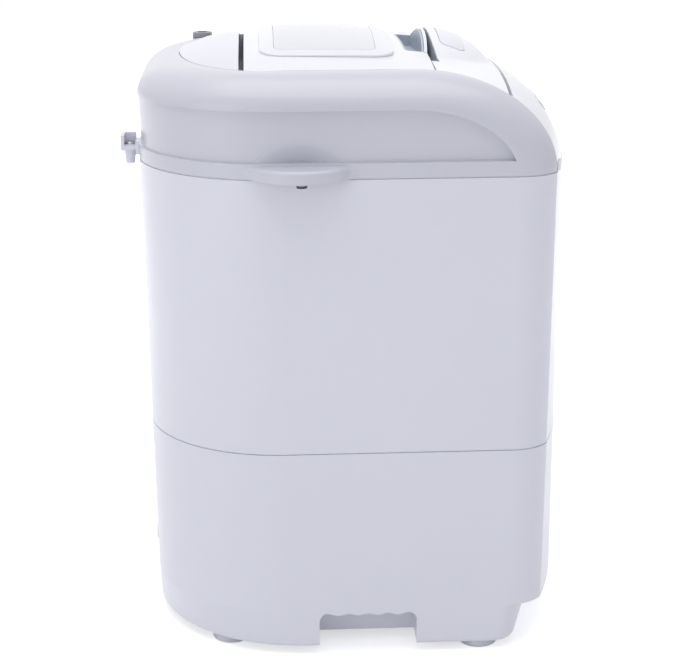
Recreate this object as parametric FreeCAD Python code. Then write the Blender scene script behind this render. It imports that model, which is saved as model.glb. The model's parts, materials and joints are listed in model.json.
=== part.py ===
import FreeCAD, Part
import math
import os

V = FreeCAD.Vector
X_AXIS = V(1, 0, 0)
Y_AXIS = V(0, 1, 0)
Z_AXIS = V(0, 0, 1)
ORIGIN = V(0, 0, 0)

# Mini top-loading washing machine, in millimetres. The floor is Z = 0, the front is -Y.
# The origin is below the middle of the outline, which runs from the front bulge to the hose hook.

# Cabinet outline, at the seam under the top frame
body_width = 390.0
body_depth = 400.0
front_bulge = 26.0
side_taper = 5.5
rear_corner_radius = 139.0
rear_corner_foot_radius = 160.0
shoulder_radius = 46.0
shoulder_height = 31.5
front_corner_turn = math.radians(57.0)
wall = 3.0

# Heights above the floor
foot_height = 9.0
toe_height = 49.0
split_height = 216.0
seam_height = 488.0
crease_height = 551.0
rim_height = 582.5

# Gaps and fits
shadow_gap = 1.2
shadow_depth = 1.6
deck_gap = 0.5
seat_gap = 0.3
key_gap = 0.4
pin_fit = 0.05
running_fit = 0.08
screw_fit = 0.2

# Base housing
toe_setback_top = 15.0
toe_setback_foot = 25.0
toe_corner_radius = 30.0
foot_bevel = 1.5
foot_bevel_height = 3.0
tongue_height = 8.0
tongue_wall = 2.0
grip_centre_y = -15.5
grip_width = 98.0
grip_rise = 35.0
grip_scallops = 5
grip_scallop_depth = 2.5
grip_corner_radius = 9.0
grip_pocket_depth = 36.0
grip_pocket_headroom = 6.0
base_plate_thickness = 4.0
foot_radius = 20.0
foot_edge_radius = 3.0
front_foot_x = 166.0
front_foot_y = -129.0
rear_foot_x = 141.0
rear_foot_y = 122.0

# Top frame
flange_height = 14.0
slope_length = 142.4
panel_depth_foot = 7.0
panel_depth_top = 5.2
panel_rear_fade = 4.0
arch_setback = 140.0
arch_length = 100.0
rim_half_width = 150.0
rim_rear_start_y = 76.5
rim_rear_depth = 87.0
flare_setback = 104.5
sill_height = 7.0
ledge_height = 556.0
ledge_thickness = 3.0
mouth_half_width = 130.0
mouth_half_length = 77.0
mouth_corner_radius = 60.0
bulkhead_thickness = 3.0
bulkhead_setback = 4.0

# Carry lips on both sides of the top frame
lip_centre_y = 46.5
lip_length = 92.0
lip_reach = 27.0
lip_height = 12.0
lip_edge_radius = 4.0
lip_blend_radius = 16.0
lip_skin = 3.0
lip_boss_radius = 5.0
lip_boss_inset = 13.0
lip_ear_thickness = 2.5
scoop_half_width = 50.0
scoop_depth = 12.0
scoop_drop = 24.0

# Deck: lid, rear deck, front deck and control panel
skin = 3.0
lid_rear_y = 98.0
hinge_gap = 5.0
lid_front_setback = 114.5
latch_gap = 1.5
hinge_crown = 16.0
lid_front_crown = 8.0
front_deck_crown = 3.0
panel_setback = 2.0
crown_growth = 1.4
groove_angle = math.radians(41.5)
groove_turn = math.radians(2.0)
panel_foot_angle = math.radians(89.5)

# Lid
window_half_width = 104.0
window_rear_y = 83.0
window_front_setback = 33.5
window_corner_radius = 20.0
window_edge_height = 591.0
window_edge_fall = 1.5
window_crown_rear = 9.0
window_crown_front = 6.5
window_bulge = 9.6
window_stations = 9
window_rim_rear = 14.0
window_rim_front = 18.0
window_rim_side = 12.0
window_shell = 3.0
window_seat = 8.0
grip_tray_half_width = 69.0
grip_tray_length = 19.0
grip_tray_depth = 13.0
grip_tray_wall = 2.0
grip_tray_corner = 8.0
grip_lip_thickness = 3.0
grip_lip_half_width = 74.0
grip_lip_rise = 20.0
grip_lip_end_rise = 6.0
grip_lip_bow = 3.2
grip_tray_drop = 1.5

# Lid hinge
hinge_axis_inset = 16.0
hinge_rise = 3.5
hinge_pin_radius = 2.5
hinge_lug_radius = 6.0
hinge_lug_inner_x = 50.0
hinge_lug_width = 8.0
hinge_post_gap = 1.0
hinge_post_radius = 4.8
hinge_post_width = 9.0
lid_rest_radius = 5.0
lid_rest_x = 118.0
lid_rest_inset = 8.0

# Hump on the front deck, with its push cap and rear plate
hump_half_width = 100.0
hump_taper = 0.55
hump_length = 70.0
hump_rise = 21.5
hump_gap = 1.8
hump_lean = 11.0
hump_roll = 30.0
hump_roll_power = 3.2
hump_stations = 7
hump_rear_sagitta = 5.0
hump_foot_radius = 25.0
latch_plate_thickness = 2.5
latch_plate_half_width = 80.0
latch_plate_margin = 2.5
cap_half_width = 58.0
cap_length = 25.0
cap_setback = 9.5
cap_corner_radius = 8.0
cap_proud = 0.6
cap_thickness = 8.0
cap_travel = 3.0
cap_floor_gap = 1.0

# Control panel keys, display and board
key_angle = math.radians(67.0)
key_count = 4
key_pitch = 34.0
key_width = 24.0
key_length = 14.0
key_corner_radius = 4.0
key_proud = 0.8
key_thickness = 4.5
key_stem_radius = 3.0
key_travel = 1.5
display_angle = math.radians(53.0)
display_width = 64.0
display_length = 20.0
display_corner_radius = 5.0
board_depth = 18.0
board_width = 150.0
board_length = 50.0
board_thickness = 1.6
board_post_radius = 4.0
board_post_inset = 8.0
board_clearance = 0.6

# Water inlet, valve and spout
inlet_x = 135.0
inlet_y = 143.5
inlet_radius = 10.4
inlet_neck_radius = 9.6
inlet_neck_rise = 2.0
inlet_well_radius = 18.0
inlet_well_floor = 563.0
inlet_bore_radius = 6.0
inlet_top = 586.5
inlet_flange_radius = 13.0
inlet_flange_thickness = 3.0
valve_radius = 15.0
valve_length = 48.0
spout_radius = 5.7
spout_bore_radius = 4.2
spout_length = 78.0

# Hose hook at the rear
hook_reach = 18.0
hook_x = -50.0
hook_width = 24.0
hook_plate = 3.5
hook_ledge_rise = 6.0
hook_ledge_thickness = 4.0
hook_lip_drop = 5.0
hook_lip_rise = 10.0
hook_web_height = 10.0
hook_boss_top_radius = 6.0
hook_boss_foot_radius = 4.5
hook_boss_length = 15.0
hook_screw_y = 9.5

# Screws
screw_radius = 2.0
screw_head_radius = 5.0
screw_head_height = 2.5
foot_screw_recess = 5.0
foot_screw_length = 16.0
lip_screw_length = 12.0

# Wash unit, round an upright axis
tub_y = -4.5
tub_radius = 162.0
tub_wall = 3.0
tub_floor = 172.0
tub_top = 520.0
tub_cover_overhang = 3.0
tub_cover_thickness = 6.0
tub_cover_bore_radius = 132.0
ear_radius = 190.0
ear_half_width = 17.0
ear_height = 24.0
ear_thickness = 8.0
basket_radius = 142.0
basket_wall = 2.5
basket_floor_gap = 22.0
basket_top = 490.0
basket_throat_radius = 20.0
basket_hole_radius = 2.5
basket_hole_rows = 6
basket_hole_pairs = 9
basket_hole_margin = 45.0
ring_width = 20.0
ring_height = 22.0
ring_overhang = 3.0
hub_radius = 70.0
hub_thickness = 5.0
spin_tube_radius = 11.0
shaft_radius = 6.9
pulsator_radius = 112.0
pulsator_gap = 4.0
pulsator_edge = 5.0
pulsator_rise = 12.0
vane_count = 6
vane_inner_radius = 24.0
vane_length = 74.0
vane_half_width = 6.0
vane_height = 15.0
pulsator_cap_radius = 17.0
pulsator_cap_height = 8.0

# Drive under the tub
gearcase_radius = 42.0
gearcase_height = 60.0
bearing_radius = 17.0
bearing_height = 10.0
bearing_inset = 3.0
seal_radius = 20.0
seal_height = 6.0
seal_gap = 0.3
pulley_radius = 75.0
pulley_height = 18.0
pulley_drop = 10.0
pulley_flange = 4.0
pulley_web = 6.0
groove_depth = 5.0
belt_thickness = 4.5
belt_gap = 0.3
motor_offset = 121.0
motor_radius = 50.0
motor_height = 54.0
motor_edge_radius = 6.0
motor_bracket_thickness = 6.0
motor_shaft_radius = 5.0
motor_pulley_radius = 23.0

# Suspension
rod_radius = 4.0
rod_clearance = 0.6
rod_head_radius = 8.0
rod_head_height = 6.0
rod_bracket_height = 468.0
rod_bracket_thickness = 6.0
rod_bracket_half_width = 16.0
tub_side_clearance = 6.0
cup_radius = 14.0
cup_wall = 3.0
cup_height = 46.0
piston_height = 4.0
piston_gap = 0.5
piston_rise = 8.0

# Drain, capacitor and cord gland
drain_x = 100.0
drain_y = 50.0
sump_radius = 12.0
sump_bore_radius = 9.0
sump_length = 10.0
bellows_wall = 2.0
bellows_ribs = 6
bellows_rib_depth = 4.0
pump_radius = 30.0
pump_height = 36.0
pump_neck_radius = 12.0
pump_neck_height = 12.0
pump_motor_radius = 17.0
pump_motor_length = 62.0
pump_nozzle_radius = 9.5
pump_nozzle_bore_radius = 7.5
outlet_height = 32.0
outlet_reach = 22.0
outlet_flange_radius = 14.0
outlet_flange_thickness = 2.5
outlet_inner_length = 18.0
capacitor_x = -100.0
capacitor_y = 60.0
capacitor_radius = 18.0
can_edge_radius = 2.0
capacitor_height = 52.0
gland_x = 45.0
gland_height = 40.0
gland_radius = 8.0
gland_flange_radius = 11.0
gland_bore_radius = 3.75
gland_reach = 8.0
gland_inner_length = 6.0

# Places that follow from the sizes
half_width = body_width / 2
front_y = -(body_depth + front_bulge + hook_reach) / 2
edge_y = front_y + front_bulge
rear_y = edge_y + body_depth
edge_x = half_width - shoulder_radius * (1 - math.cos(front_corner_turn))
corner_y = edge_y + shoulder_radius * math.sin(front_corner_turn)
slope_front_y = corner_y - shoulder_radius
slope_top_y = slope_front_y + slope_length
cheek_depth = slope_top_y - edge_y
cheek_height = rim_height - seam_height
hinge_axis_height = rim_height + hinge_rise
flange_top = seam_height + flange_height
rim_tip_y = rim_rear_start_y + rim_rear_depth
rear_deck_y = lid_rear_y + hinge_gap
arch_start_y = edge_y + arch_setback
flare_start_y = edge_y + flare_setback
lid_front_y = edge_y + lid_front_setback
lid_rest_y = lid_front_y + lid_rest_inset
window_front_y = lid_front_y + window_front_setback
front_deck_y = lid_front_y - latch_gap
hump_rear_y = lid_front_y - grip_lip_bow - hump_gap
bulkhead_y = hump_rear_y - hump_rear_sagitta - bulkhead_setback
hinge_y = lid_rear_y - hinge_axis_inset
base_plate_top = foot_height + base_plate_thickness
above = rim_height + body_width
far = 2 * body_depth


def line(start, end):
    return Part.makeLine(start, end)


def arc(start, middle, end):
    return Part.Arc(start, middle, end).toShape()


def prism(edges, direction):
    return Part.Face(Part.Wire(edges)).extrude(direction)


def polygon_edges(points):
    return [line(a, b) for a, b in zip(points, points[1:] + points[:1])]


def block(x0, x1, y0, y1, z0, z1):
    return Part.makeBox(x1 - x0, y1 - y0, z1 - z0, V(x0, y0, z0))


def upright(radius, x, y, z0, z1):
    return Part.makeCylinder(radius, z1 - z0, V(x, y, z0), Z_AXIS)


def upright_tube(radius, bore, x, y, z0, z1):
    return upright(radius, x, y, z0, z1).cut(upright(bore, x, y, z0 - 1, z1 + 1))


def along_y(radius, x, z, y0, y1):
    return Part.makeCylinder(radius, y1 - y0, V(x, y0, z), Y_AXIS)


def along_x(radius, y, z, x0, x1):
    return Part.makeCylinder(radius, x1 - x0, V(x0, y, z), X_AXIS)


def mirrored(shape):
    return shape.mirror(ORIGIN, X_AXIS)


def both_sides(shape):
    return [shape, mirrored(shape)]


def fused(shapes):
    return shapes[0].multiFuse(shapes[1:]).removeSplitter()


def spun(points, x, y):
    """Solid of revolution of a closed (radius, height) outline about an upright axis."""
    face = Part.Face(Part.Wire(polygon_edges([V(x + r, y, z) for r, z in points])))
    return face.revolve(V(x, y, 0), Z_AXIS, 360)


def rounded_edges(x0, x1, y0, y1, radius, z):
    """Edges of a rectangle with round corners, at one height."""
    bend = radius * (1 - math.sqrt(0.5))
    return [
        line(V(x0 + radius, y0, z), V(x1 - radius, y0, z)),
        arc(V(x1 - radius, y0, z), V(x1 - bend, y0 + bend, z), V(x1, y0 + radius, z)),
        line(V(x1, y0 + radius, z), V(x1, y1 - radius, z)),
        arc(V(x1, y1 - radius, z), V(x1 - bend, y1 - bend, z), V(x1 - radius, y1, z)),
        line(V(x1 - radius, y1, z), V(x0 + radius, y1, z)),
        arc(V(x0 + radius, y1, z), V(x0 + bend, y1 - bend, z), V(x0, y1 - radius, z)),
        line(V(x0, y1 - radius, z), V(x0, y0 + radius, z)),
        arc(V(x0, y0 + radius, z), V(x0 + bend, y0 + bend, z), V(x0 + radius, y0, z)),
    ]


def rounded_block(x0, x1, y0, y1, z0, z1, radius):
    return prism(rounded_edges(x0, x1, y0, y1, radius, z0), V(0, 0, z1 - z0))


def screw(x, y, head_z, length, up):
    """Pan screw with an upright shank; the head lies on the far side of head_z from the shank."""
    direction = V(0, 0, 1 if up else -1)
    head = Part.makeCylinder(screw_head_radius, screw_head_height, V(x, y, head_z), direction * -1)
    shank = Part.makeCylinder(screw_radius, length, V(x, y, head_z), direction)
    return fused([head, shank])


# Cabinet outline

def taper(z):
    return side_taper * (seam_height - z) / seam_height


def rear_edges(z, inset, outer_radius):
    """Right side from the rear corner, rear wall and left rear corner, anticlockwise."""
    radius = outer_radius - inset
    centre_x = half_width - outer_radius
    centre_y = rear_y - outer_radius
    bend = radius * math.sqrt(0.5)
    right = V(half_width - inset, centre_y, z)
    back_right = V(centre_x, rear_y - inset, z)
    back_left = V(-centre_x, rear_y - inset, z)
    left = V(-half_width + inset, centre_y, z)
    return [
        arc(right, V(centre_x + bend, centre_y + bend, z), back_right),
        line(back_right, back_left),
        arc(back_left, V(-centre_x - bend, centre_y + bend, z), left),
    ]


def plan_outline(z, inset, front_inset):
    """Cabinet outline at a height: round rear corners, crisp front edges and a bulging front."""
    radius = shoulder_radius - inset
    centre_x = half_width - shoulder_radius

    def corner(side, angle):
        return V(side * (centre_x + radius * math.cos(angle)), corner_y - radius * math.sin(angle), z)

    rear = rear_edges(z, inset, rear_corner_radius)
    right_foot = corner(1, 0)
    left_foot = corner(-1, 0)
    right_edge = corner(1, front_corner_turn)
    left_edge = corner(-1, front_corner_turn)
    edges = [line(right_foot, V(half_width - inset, rear_y - rear_corner_radius, z))]
    edges += rear
    edges.append(line(V(-half_width + inset, rear_y - rear_corner_radius, z), left_foot))
    edges.append(arc(left_foot, corner(-1, front_corner_turn / 2), left_edge))
    edges.append(arc(left_edge, V(0, front_y + front_inset, z), right_edge))
    edges.append(arc(right_edge, corner(1, front_corner_turn / 2), right_foot))
    return Part.Wire(edges)


def cabinet_solid(z0, z1, inset):
    """Tapered solid with the cabinet outline, set in from the outer face."""
    wires = [plan_outline(z, taper(z) + inset, inset) for z in (z0, z1)]
    return Part.makeLoft(wires, True, True)


def toe_outline(z, inset, setback):
    """Outline of the base below the overhanging front, with a flat set-back toe and rounder rear corners."""
    drop = min(max((toe_height - z) / (toe_height - foot_height), 0), 1)
    outer_radius = rear_corner_radius + (rear_corner_foot_radius - rear_corner_radius) * drop
    radius = toe_corner_radius - inset
    side = half_width - inset
    toe_y = edge_y + setback + inset
    centre_y = toe_y + radius
    bend = radius * (1 - math.sqrt(0.5))
    rear_start = rear_y - outer_radius
    edges = [line(V(side, centre_y, z), V(side, rear_start, z))]
    edges += rear_edges(z, inset, outer_radius)
    edges.append(line(V(-side, rear_start, z), V(-side, centre_y, z)))
    edges.append(arc(V(-side, centre_y, z), V(-side + bend, toe_y + bend, z), V(-side + radius, toe_y, z)))
    edges.append(line(V(-side + radius, toe_y, z), V(side - radius, toe_y, z)))
    edges.append(arc(V(side - radius, toe_y, z), V(side - bend, toe_y + bend, z), V(side, centre_y, z)))
    return Part.Wire(edges)


def toe_setback(z):
    share = (z - foot_height) / (toe_height - foot_height)
    return toe_setback_foot + (toe_setback_top - toe_setback_foot) * share


def toe_solid(z0, z1, inset):
    wires = [toe_outline(z, taper(z) + inset, toe_setback(z)) for z in (z0, toe_height, z1)]
    return Part.makeLoft(wires, True, True)


# Base group

def grip_notch():
    """Hand opening in the right side wall, its upper edge a row of finger scallops."""
    y0 = grip_centre_y - grip_width / 2
    y1 = grip_centre_y + grip_width / 2
    pitch = grip_width / grip_scallops
    crest = foot_height + grip_rise
    valley = crest - grip_scallop_depth
    x = half_width - side_taper - wall - grip_pocket_headroom
    below = foot_height - wall
    shoulder = valley - grip_corner_radius / 2
    points = [V(x, y0, shoulder)]
    for i in range(grip_scallops):
        points.append(V(x, y0 + (i + 0.5) * pitch, crest))
        if i < grip_scallops - 1:
            points.append(V(x, y0 + (i + 1) * pitch, valley))
    points.append(V(x, y1, shoulder))
    wave = Part.BSplineCurve()
    wave.interpolate(points)
    corners = [V(x, y1, shoulder), V(x, y1, below), V(x, y0, below), V(x, y0, shoulder)]
    edges = [wave.toShape()] + [line(a, b) for a, b in zip(corners, corners[1:])]
    return prism(edges, V(half_width - x + wall, 0, 0))


def base_housing():
    upper = cabinet_solid(toe_height, split_height - shadow_gap, 0)
    rebate = cabinet_solid(split_height - 2 * shadow_gap, split_height, shadow_depth)
    bevel_top = foot_height + foot_bevel_height
    lower = toe_solid(bevel_top, toe_height + wall, 0)
    bevel_wires = [
        toe_outline(foot_height, taper(foot_height) + foot_bevel, toe_setback(foot_height)),
        toe_outline(bevel_top, taper(bevel_top), toe_setback(bevel_top)),
    ]
    bevel = Part.makeLoft(bevel_wires, True, True)
    tongue_foot = split_height - tongue_height
    tongue_root = cabinet_solid(tongue_foot, split_height - shadow_gap, shadow_depth)
    tongue = cabinet_solid(split_height - 2 * shadow_gap, split_height + tongue_height, wall + seat_gap)
    outer = fused([upper, rebate, lower, bevel, tongue_root, tongue])
    low_room = toe_solid(bevel_top, toe_height + 2 * wall, wall)
    bevel_room = Part.makeLoft([
        toe_outline(foot_height - 1, taper(foot_height) + foot_bevel + wall, toe_setback(foot_height)),
        toe_outline(bevel_top, taper(bevel_top) + wall, toe_setback(bevel_top)),
    ], True, True)
    high_room = cabinet_solid(toe_height + wall, tongue_foot, wall)
    neck = cabinet_solid(tongue_foot - 1, split_height + tongue_height + 1, wall + seat_gap + tongue_wall)
    shell = outer.cut(low_room).cut(bevel_room).cut(high_room).cut(neck)
    y0 = grip_centre_y - grip_width / 2
    y1 = grip_centre_y + grip_width / 2
    pocket_x = half_width - taper(foot_height) - grip_pocket_depth
    ceiling = foot_height + grip_rise + grip_pocket_headroom
    for side in (1, -1):
        lining = block(pocket_x - wall, half_width, y0 - wall, y1 + wall, foot_height, ceiling + wall)
        room = block(pocket_x, half_width, y0, y1, foot_height - 1, ceiling)
        room = room.common(toe_solid(foot_height - 1, ceiling, wall))
        notch = grip_notch()
        if side < 0:
            lining, room, notch = mirrored(lining), mirrored(room), mirrored(notch)
        shell = shell.fuse(lining.common(lower.fuse(bevel))).cut(room).cut(notch)
    shell = shell.cut(along_x(pump_nozzle_radius + seat_gap, drain_y, outlet_height, outlet_inner_x(), far))
    return shell.cut(along_y(gland_radius + seat_gap, gland_x, gland_height, gland_inner_y(), far))


def foot_places():
    return {
        "front_left": (-front_foot_x, front_foot_y),
        "front_right": (front_foot_x, front_foot_y),
        "rear_left": (-rear_foot_x, rear_foot_y),
        "rear_right": (rear_foot_x, rear_foot_y),
    }


def base_plate():
    inset = taper(foot_height) + foot_bevel + wall + seat_gap
    wire = toe_outline(foot_height, inset, toe_setback(foot_height))
    plate = Part.Face(wire).extrude(V(0, 0, base_plate_thickness))
    y0 = grip_centre_y - grip_width / 2 - wall - seat_gap
    y1 = grip_centre_y + grip_width / 2 + wall + seat_gap
    pocket_x = half_width - taper(foot_height) - grip_pocket_depth - wall - seat_gap
    pocket = block(pocket_x, half_width, y0, y1, foot_height - 1, base_plate_top + 1)
    plate = plate.cut(pocket).cut(mirrored(pocket))
    for x, y in foot_places().values():
        plate = plate.cut(upright(screw_radius + screw_fit, x, y, foot_height - 1, base_plate_top + 1))
    return plate


def foot(x, y):
    body = upright(foot_radius, x, y, 0, foot_height)
    rim = [edge for edge in body.Edges if edge.BoundBox.ZMax < 0.01]
    body = body.makeFillet(foot_edge_radius, rim)
    body = body.cut(upright(screw_head_radius + screw_fit, x, y, -1, foot_screw_recess))
    return body.cut(upright(screw_radius + screw_fit, x, y, 0, foot_height + 1))


def foot_screws():
    screws = [screw(x, y, foot_screw_recess, foot_screw_length, True) for x, y in foot_places().values()]
    return Part.makeCompound(screws)


# Cabinet group

def lip_radius():
    return (lip_length ** 2 / 4 + lip_reach ** 2) / (2 * lip_reach)


def lip_boss_x():
    return half_width + lip_reach - lip_boss_inset


def rod_places():
    spread = ear_radius * math.sqrt(0.5)
    return [(sx * spread, tub_y + sy * spread) for sx in (-1, 1) for sy in (-1, 1)]


def cabinet_shell():
    outer = cabinet_solid(split_height, seam_height - shadow_gap, 0)
    rebate = cabinet_solid(seam_height - 2 * shadow_gap, seam_height, shadow_depth)
    room = cabinet_solid(split_height - 1, seam_height + 1, wall)
    shell = outer.fuse(rebate).cut(room)
    filling = cabinet_solid(split_height, seam_height, wall / 2)
    keep_clear = upright(tub_radius + tub_cover_overhang + tub_side_clearance, 0, tub_y, 0, above)
    top = rod_bracket_height + rod_bracket_thickness
    for x, y in rod_places():
        side = math.copysign(1, x)
        reach = sorted((x - side * rod_bracket_half_width, side * half_width))
        ys = (y - rod_bracket_half_width, y + rod_bracket_half_width)
        bracket = block(reach[0], reach[1], ys[0], ys[1], rod_bracket_height, top).common(filling)
        bracket = bracket.cut(keep_clear)
        hole = upright(rod_radius + rod_clearance, x, y, rod_bracket_height - 1, top + 1)
        shell = shell.fuse(bracket.cut(hole))
    tab_foot = seam_height - lip_ear_thickness
    tip_x = lip_boss_x()
    tab = block(half_width - wall, tip_x, lip_centre_y - lip_boss_radius, lip_centre_y + lip_boss_radius,
                tab_foot, seam_height)
    tab = tab.fuse(upright(lip_boss_radius, tip_x, lip_centre_y, tab_foot, seam_height))
    hole = upright(screw_radius + screw_fit, tip_x, lip_centre_y, tab_foot - 1, seam_height + 1)
    return fused([shell] + both_sides(tab.cut(hole).cut(room)))


def lip_screws():
    head_z = seam_height - lip_ear_thickness
    return Part.makeCompound(both_sides(screw(lip_boss_x(), lip_centre_y, head_z, lip_screw_length, True)))


# Deck surface: crowned sections along the top and down the front slope

def half_opening(y):
    """Half width of the deck opening: straight sides, elliptic rear end, flaring front."""
    if y > rim_rear_start_y:
        share = min((y - rim_rear_start_y) / rim_rear_depth, 0.98)
        return rim_half_width * math.sqrt(1 - share ** 2)
    if y < flare_start_y:
        share = (flare_start_y - y) / (flare_start_y - edge_y)
        return rim_half_width + (edge_x - rim_half_width) * share
    return rim_half_width


def slope_angle(y):
    if y >= slope_top_y:
        return 0.0
    return math.asin((slope_top_y - y) / cheek_depth)


def station(angle, crown, y=None):
    """Place, outward direction, half width and crown of one deck section."""
    place_y = slope_top_y - cheek_depth * math.sin(angle) if y is None else y
    place_z = seam_height + cheek_height * math.cos(angle)
    outward = V(0, -math.sin(angle) / cheek_depth, math.cos(angle) / cheek_height)
    return V(0, place_y, place_z), outward.normalize(), half_opening(place_y), crown


def section(place, outward, reach, crown, lift, thickness):
    """Closed wire of a crowned strip across the machine, a little wider than the opening."""
    radius = (reach ** 2 + crown ** 2) / (2 * crown)
    wide = reach + 2 * wall
    end_rise = crown - radius + math.sqrt(radius ** 2 - wide ** 2)
    rows = []
    for offset in (lift, lift - thickness):
        left = place + V(-wide, 0, 0) + outward * (end_rise + offset)
        right = place + V(wide, 0, 0) + outward * (end_rise + offset)
        rows.append((left, place + outward * (crown + offset), right))
    top, low = rows
    return Part.Wire([arc(*top), line(top[2], low[2]), arc(low[2], low[1], low[0]), line(low[0], top[0])])


def deck_sheet(stations, lift, thickness):
    return Part.makeLoft([section(*place, lift, thickness) for place in stations], True, False)


def lid_stations():
    over = hinge_gap / 2
    rear = lid_rear_y + over
    front = lid_front_y - over
    steps = 6
    stations = []
    for i in range(steps):
        share = i / (steps - 1)
        y = rear + (front - rear) * share
        crown = hinge_crown + (lid_front_crown - hinge_crown) * share
        stations.append(station(slope_angle(y), crown, y))
    return stations


def rear_deck_stations():
    over = hinge_gap / 2
    front = rear_deck_y - over
    steps = 5
    stations = []
    for i in range(steps):
        y = front + (rim_tip_y + over - front) * i / (steps - 1)
        fall = max(y - rear_deck_y, 0) / (rim_tip_y + over - rear_deck_y)
        crown = max(hinge_crown * (1 - fall ** 2), deck_gap)
        stations.append(station(0.0, crown, y))
    return stations


def front_crown(angle):
    full = front_bulge - panel_setback
    return front_deck_crown + (full - front_deck_crown) * (angle / (math.pi / 2)) ** crown_growth


def slope_stations(start, end, steps):
    angles = [start + (end - start) * i / (steps - 1) for i in range(steps)]
    return [station(angle, front_crown(angle)) for angle in angles]


def front_deck_stations():
    return slope_stations(slope_angle(front_deck_y + latch_gap), groove_angle, 5)


def panel_stations():
    return slope_stations(groove_angle + groove_turn, panel_foot_angle, 7)


def opening_prism(inset, z0, z1):
    """Upright prism of the deck opening in the top frame."""
    half = rim_half_width - inset
    ellipse = Part.Ellipse(V(0, rim_rear_start_y, z0), half, rim_rear_depth - inset)
    flare_end_y = front_y - body_depth / 2
    flare = half_opening(flare_end_y) - inset
    points = [V(-half, rim_rear_start_y, z0), V(-half, flare_start_y, z0), V(-flare, flare_end_y, z0),
              V(flare, flare_end_y, z0), V(half, flare_start_y, z0), V(half, rim_rear_start_y, z0)]
    edges = [Part.ArcOfEllipse(ellipse, 0, math.pi).toShape()]
    edges += [line(a, b) for a, b in zip(points, points[1:])]
    return prism(edges, V(0, 0, z1 - z0))


# Top frame

def shouldered_block(inset, foot):
    """Body of the top frame: round rear corners, elliptic front slope, rolled shoulder.

    It is rolled with a round shoulder on a taller body, then pressed down to its height above the seam."""
    press = shoulder_height / shoulder_radius
    side = half_width - inset
    top = seam_height + (rim_height - inset - seam_height) / press
    foot = seam_height + (foot - seam_height) / press
    nose_y = slope_front_y + inset
    back_y = rear_y - inset
    centre = V(-side, slope_top_y, seam_height)
    ellipse = Part.Ellipse(V(-side, nose_y, seam_height), V(-side, slope_top_y, top), centre)
    slope = Part.ArcOfEllipse(ellipse, 0, math.pi / 2).toShape()
    points = [V(-side, y, z) for y, z in ((slope_top_y, top), (back_y, top), (back_y, foot), (nose_y, foot))]
    edges = [slope] + [line(a, b) for a, b in zip(points, points[1:])]
    if foot < seam_height:
        edges.append(line(points[-1], V(-side, nose_y, seam_height)))
    profile = prism(edges, V(2 * side, 0, 0))
    rear_start = rear_y - rear_corner_radius
    places = ((-side, rear_start), (-side, -far), (side, -far), (side, rear_start))
    corners = [V(x, y, foot) for x, y in places]
    plan = rear_edges(foot, inset, rear_corner_radius) + [line(a, b) for a, b in zip(corners, corners[1:])]
    body = profile.common(prism(plan, V(0, 0, top - foot)))

    def rolled(edge):
        box = edge.BoundBox
        across = box.XLength > side and box.YMax < back_y - 1
        on_top = box.ZMin > top - 0.1 and not across
        return on_top or (box.ZLength > cheek_height / 2 and box.YLength > cheek_depth / 2)

    body = body.makeFillet(shoulder_radius - inset, [edge for edge in body.Edges if rolled(edge)])
    pressed = FreeCAD.Matrix()
    pressed.A33 = press
    pressed.A34 = seam_height * (1 - press)
    return body.transformGeometry(pressed)


def side_panel_cut():
    """What the recessed side and rear panel takes away: arched at its front, deepest at the flange."""
    centre = V(-far, arch_start_y, seam_height)
    ellipse = Part.Ellipse(centre - V(0, arch_length, 0), V(-far, arch_start_y, crease_height), centre)
    arch = Part.ArcOfEllipse(ellipse, 0, math.pi / 2).toShape()
    points = [V(-far, arch_start_y, crease_height), V(-far, far, crease_height), V(-far, far, seam_height),
              V(-far, arch_start_y - arch_length, seam_height)]
    reach = prism([arch] + [line(a, b) for a, b in zip(points, points[1:])], V(2 * far, 0, 0))
    core = Part.makeLoft([
        plan_outline(seam_height, panel_depth_foot, panel_depth_foot),
        plan_outline(crease_height + 1, panel_depth_top, panel_depth_top),
    ], True, True)
    core.translate(V(0, panel_rear_fade, 0))
    return reach.cut(core).cut(block(-far, far, -far, far, 0, flange_top))


def frame_room():
    """Inside of the top frame, open at the bottom."""
    change = crease_height + wall
    low = Part.makeLoft([
        plan_outline(seam_height - 1, panel_depth_foot + wall, panel_depth_foot + wall),
        plan_outline(change, panel_depth_top + wall, panel_depth_top + wall),
    ], True, True)
    low.translate(V(0, panel_rear_fade, 0))
    high = block(-far, far, -far, far, change, above)
    inner = shouldered_block(wall, seam_height - 1)
    return inner.common(low).fuse(inner.common(high))


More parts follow.
